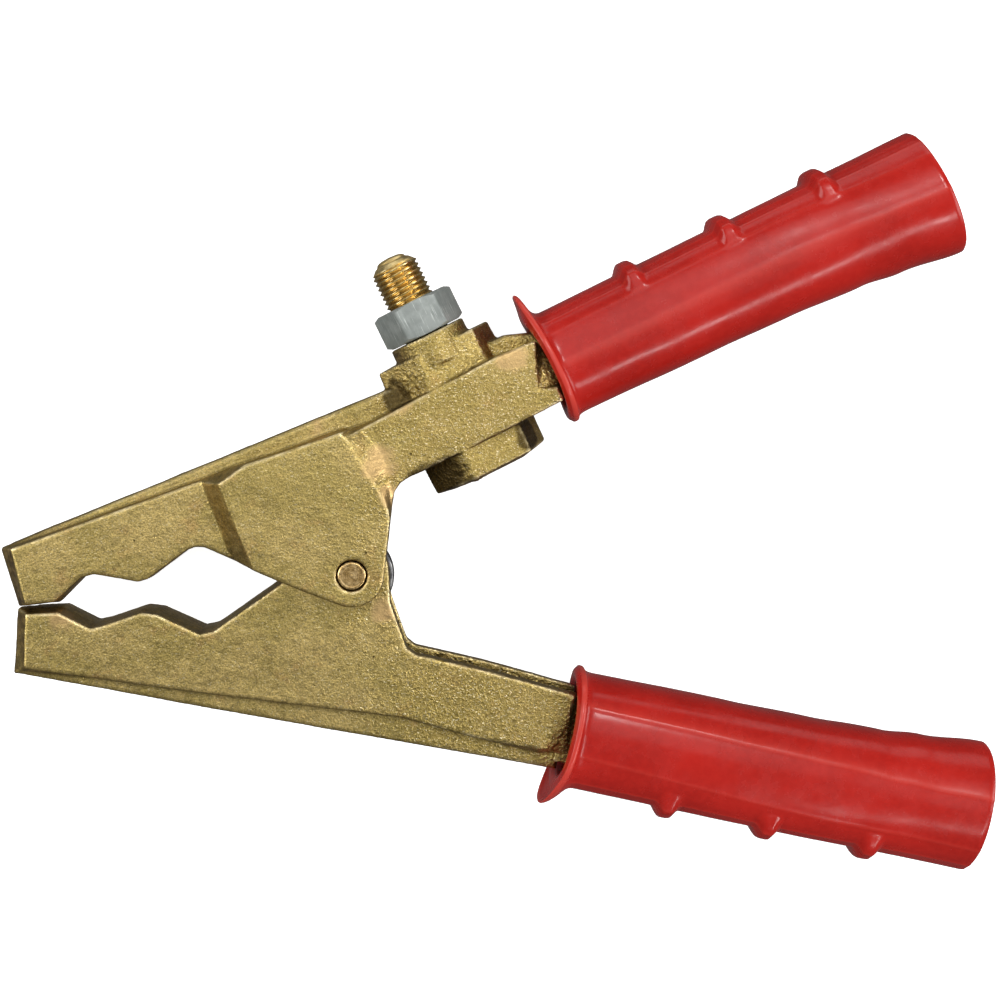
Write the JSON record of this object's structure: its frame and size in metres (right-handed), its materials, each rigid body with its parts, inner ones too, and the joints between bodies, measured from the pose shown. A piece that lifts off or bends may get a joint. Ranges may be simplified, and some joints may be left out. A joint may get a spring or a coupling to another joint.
{
  "type": "ground clamp",
  "caption": "Spring-loaded cast brass ground clamp with notched jaws, a threaded cable stud with hexagon nut, and sleeved handles.",
  "frame": {"origin": "centre of the bounding box's bottom face, with the clamp lying on its side", "axes": "+X from the jaws to the handles, +Y from the lower handle to the upper handle, +Z along the pivot pin, up"},
  "size_m": [0.2446, 0.1834, 0.0286],
  "materials": {
    "cast_brass": "sand-cast, satin",
    "turned_brass": "machined",
    "rivet_copper": "machined",
    "zinc_plate": "zinc-plated, satin",
    "spring_steel": "dark, oiled",
    "red_vinyl": "dipped, glossy"
  },
  "bodies": {
    "upper": {"upper_lever": "cast_brass", "pivot_rivet": "rivet_copper", "cable_stud": "turned_brass", "upper_grip": "red_vinyl", "torsion_spring": "spring_steel"},
    "lower": {"lower_lever": "cast_brass", "lower_grip": "red_vinyl"},
    "nut": {"stud_nut": "zinc_plate"}
  },
  "joints": [
    {"name": "jaw_hinge", "type": "hinge", "parent": "upper", "child": "lower", "pos_m": [-0.03607, -0.01527, 0.0143], "axis": [0, 0, 1], "range_deg": [0, 40], "stiffness_Nm_per_rad": 8, "springref_deg": -20.05, "deforming": ["torsion_spring"]},
    {"name": "nut_slide", "type": "slide", "parent": "upper", "child": "nut", "axis": [-0.4399, 0.898, 0], "range_m": [0, 0.01]}
  ]
}
